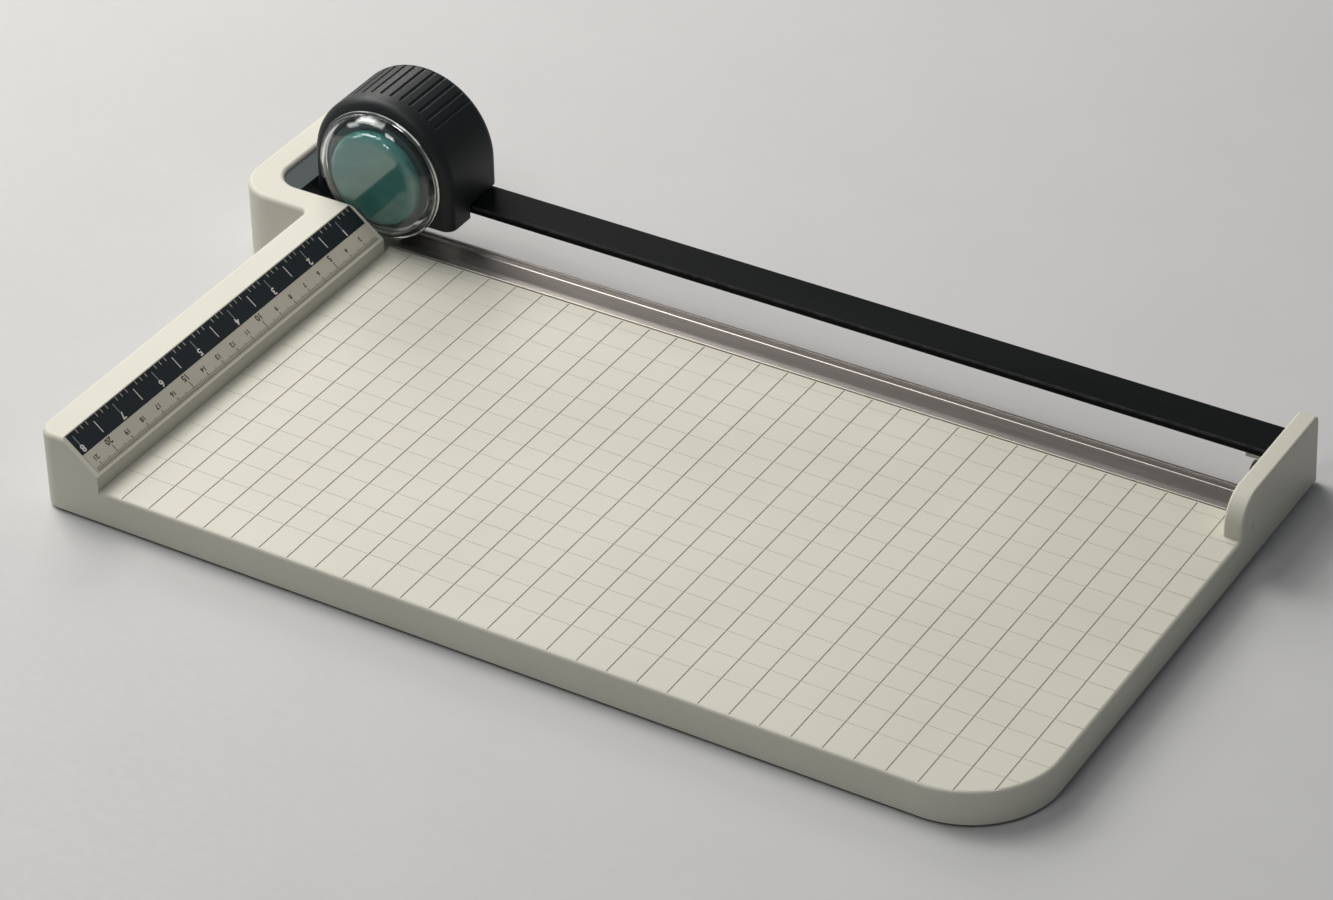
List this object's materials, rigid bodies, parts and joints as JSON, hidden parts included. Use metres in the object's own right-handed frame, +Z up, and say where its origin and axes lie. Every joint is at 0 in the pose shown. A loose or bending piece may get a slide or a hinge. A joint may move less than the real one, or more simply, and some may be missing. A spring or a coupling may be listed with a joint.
{
  "type": "rotary paper trimmer",
  "caption": "Desktop paper trimmer: cream gridded base with sloped ruler ledge, steel cutting strip, flat rail between brackets, and a sprung rolling-blade head with clear guard.",
  "frame": {"origin": "centre of the footprint's bounding box, on the table under the feet", "axes": "+Z up; +X along the cut, from the ruler ledge to the right bracket; +Y towards the rear, where the rail is"},
  "size_m": [0.458, 0.257, 0.0804],
  "materials": {
    "cream_plastic": "fine matt moulded cream plastic",
    "rubber": "matt black rubber",
    "black_scale": "black printed scale with pale ticks",
    "grey_scale": "satin grey scale plate with dark ticks",
    "ground_steel": "ground steel, lengthwise grain",
    "plain_steel": "plain mill-finished steel",
    "zinc_steel": "zinc plated",
    "black_rail": "satin black coated steel",
    "charcoal_plastic": "matt charcoal plastic",
    "white_nylon": "smooth white nylon",
    "spring_steel": "bright drawn wire",
    "black_plastic": "satin black moulded plastic",
    "clear_plastic": "clear polished plastic",
    "teal_plastic": "satin teal plastic",
    "smoky_plastic": "glossy dark teal-grey plastic",
    "brass": "turned sintered brass",
    "blade_steel": "polished hardened steel"
  },
  "bodies": {
    "base": {"base_body": "cream_plastic", "foot_pads": "rubber", "inch_scale": "black_scale", "metric_scale": "grey_scale", "cutting_strip": "ground_steel", "stiffener_bar": "plain_steel", "strip_screws": "zinc_steel", "guide_rail": "black_rail", "rail_end_block": "charcoal_plastic", "end_block_screws": "zinc_steel", "rail_left_screw": "zinc_steel", "rail_support": "plain_steel", "rail_support_screws": "zinc_steel", "rail_right_screw": "zinc_steel", "end_bumpers": "rubber"},
    "shoe": {"slide_shoe": "white_nylon", "shoulder_screws": "zinc_steel", "press_springs": "spring_steel"},
    "head": {"carrier_frame": "charcoal_plastic", "axle_pin": "zinc_steel", "head_housing": "black_plastic", "housing_screws": "zinc_steel", "blade_guard": "clear_plastic", "hub_washer": "zinc_steel", "hub_screw": "zinc_steel"},
    "cartridge": {"blade_hub": "smoky_plastic", "hub_bush": "brass", "round_blade": "blade_steel", "blade_nut": "zinc_steel", "hub_cap": "teal_plastic"}
  },
  "joints": [
    {"name": "head_slide", "type": "slide", "parent": "base", "child": "shoe", "axis": [1, 0, 0], "range_m": [0, 0.355]},
    {"name": "head_press", "type": "slide", "parent": "shoe", "child": "head", "axis": [0, 0, -1], "range_m": [0, 0.0015], "stiffness_N_per_m": 2000, "springref_m": -0.003, "deforming": ["press_springs"]},
    {"name": "blade_roll", "type": "hinge", "parent": "head", "child": "cartridge", "pos_m": [-0.1688, 0.091, 0.0468], "axis": [0, 1, 0], "range_deg": [-5, 700]}
  ],
  "couplings": [
    {"joint": "blade_roll", "follows": "head_slide", "rad_per_m": 33.333}
  ]
}
